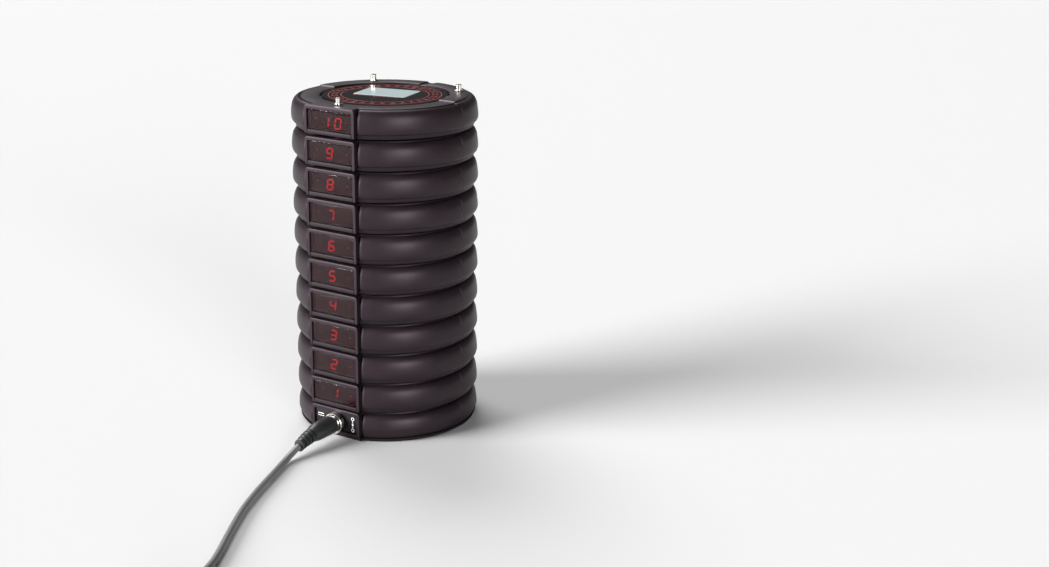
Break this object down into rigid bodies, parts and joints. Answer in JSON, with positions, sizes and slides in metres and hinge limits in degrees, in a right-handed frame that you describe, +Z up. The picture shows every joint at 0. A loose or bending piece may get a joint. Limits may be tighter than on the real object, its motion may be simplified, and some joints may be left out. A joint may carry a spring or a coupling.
{
  "type": "coaster pager stack",
  "caption": "Stack of round coaster pagers docked on a charging base with a DC lead; each pager lifts off and shows its number in a front window.",
  "frame": {"origin": "centre of the stack's axis on the flat underside of the charging base", "axes": "+Z up along the stack's axis; -Y out of the front windows and the DC socket; +X to the right seen from the front"},
  "size_m": [0.1671, 0.292, 0.1772],
  "materials": {
    "body_plastic": "fine moulded texture, dark aubergine grey",
    "smoked_window": "polished smoked red-black acrylic",
    "badge_print": "satin black print with thin red rings",
    "badge_pane": "pale blue-grey gloss pane",
    "display": "lit red seven-segment module",
    "circuit_board": "green solder mask",
    "nickel": "nickel plate",
    "battery_wrap": "silver-grey foil pouch",
    "steel": "drawn steel",
    "black_plastic": "moulded black",
    "lead_jacket": "smooth dark grey PVC jacket"
  },
  "bodies": {
    "charging_base": {"base_cover": "body_plastic", "base_plate": "black_plastic", "base_panel": "body_plastic", "base_board": "circuit_board", "dc_socket": "nickel", "dc_socket_nut": "nickel", "plug_body": "black_plastic", "plug_barrel": "nickel", "lead_run": "lead_jacket", "lead_coil": "lead_jacket", "usb_body": "black_plastic", "usb_shell": "nickel"},
    "pager_01": {"pager_01_cover": "body_plastic", "pager_01_case": "body_plastic", "pager_01_window": "smoked_window", "pager_01_board": "circuit_board"},
    "pager_02": {"pager_02_cover": "body_plastic", "pager_02_case": "body_plastic", "pager_02_window": "smoked_window", "pager_02_board": "circuit_board"},
    "pager_03": {"pager_03_cover": "body_plastic", "pager_03_case": "body_plastic", "pager_03_window": "smoked_window", "pager_03_board": "circuit_board"},
    "pager_04": {"pager_04_cover": "body_plastic", "pager_04_case": "body_plastic", "pager_04_window": "smoked_window", "pager_04_board": "circuit_board"},
    "pager_05": {"pager_05_cover": "body_plastic", "pager_05_case": "body_plastic", "pager_05_window": "smoked_window", "pager_05_board": "circuit_board"},
    "pager_06": {"pager_06_cover": "body_plastic", "pager_06_case": "body_plastic", "pager_06_window": "smoked_window", "pager_06_board": "circuit_board"},
    "pager_07": {"pager_07_cover": "body_plastic", "pager_07_case": "body_plastic", "pager_07_window": "smoked_window", "pager_07_board": "circuit_board"},
    "pager_08": {"pager_08_cover": "body_plastic", "pager_08_case": "body_plastic", "pager_08_window": "smoked_window", "pager_08_board": "circuit_board"},
    "pager_09": {"pager_09_cover": "body_plastic", "pager_09_case": "body_plastic", "pager_09_window": "smoked_window", "pager_09_board": "circuit_board"},
    "pager_10": {"pager_10_cover": "body_plastic", "pager_10_case": "body_plastic", "pager_10_window": "smoked_window", "pager_10_board": "circuit_board", "pager_10_badge": "badge_print", "pager_10_badge_pane": "badge_pane", "pager_10_display": "display", "pager_10_battery": "battery_wrap", "pager_10_motor": "steel", "pager_10_buzzer": "black_plastic"},
    "vibration_weight": {"pager_10_motor_weight": "steel"},
    "switch_slider": {"pager_10_power_switch": "black_plastic"}
  },
  "joints": [
    {"name": "pager_01_lift", "type": "slide", "parent": "charging_base", "child": "pager_01", "axis": [0, 0, 1], "range_m": [0, 0.04]},
    {"name": "pager_02_lift", "type": "slide", "parent": "pager_01", "child": "pager_02", "axis": [0, 0, 1], "range_m": [0, 0.04]},
    {"name": "pager_03_lift", "type": "slide", "parent": "pager_02", "child": "pager_03", "axis": [0, 0, 1], "range_m": [0, 0.04]},
    {"name": "pager_04_lift", "type": "slide", "parent": "pager_03", "child": "pager_04", "axis": [0, 0, 1], "range_m": [0, 0.04]},
    {"name": "pager_05_lift", "type": "slide", "parent": "pager_04", "child": "pager_05", "axis": [0, 0, 1], "range_m": [0, 0.04]},
    {"name": "pager_06_lift", "type": "slide", "parent": "pager_05", "child": "pager_06", "axis": [0, 0, 1], "range_m": [0, 0.04]},
    {"name": "pager_07_lift", "type": "slide", "parent": "pager_06", "child": "pager_07", "axis": [0, 0, 1], "range_m": [0, 0.04]},
    {"name": "pager_08_lift", "type": "slide", "parent": "pager_07", "child": "pager_08", "axis": [0, 0, 1], "range_m": [0, 0.04]},
    {"name": "pager_09_lift", "type": "slide", "parent": "pager_08", "child": "pager_09", "axis": [0, 0, 1], "range_m": [0, 0.04]},
    {"name": "pager_10_lift", "type": "slide", "parent": "pager_09", "child": "pager_10", "axis": [0, 0, 1], "range_m": [0, 0.04]},
    {"name": "vibration_spin", "type": "hinge", "parent": "pager_10", "child": "vibration_weight", "pos_m": [-0.009, -0.02, 0.1634], "axis": [1, 0, 0], "continuous": true},
    {"name": "power_switch_slide", "type": "slide", "parent": "pager_10", "child": "switch_slider", "axis": [1, 0, 0], "range_m": [0, 0.003]}
  ]
}
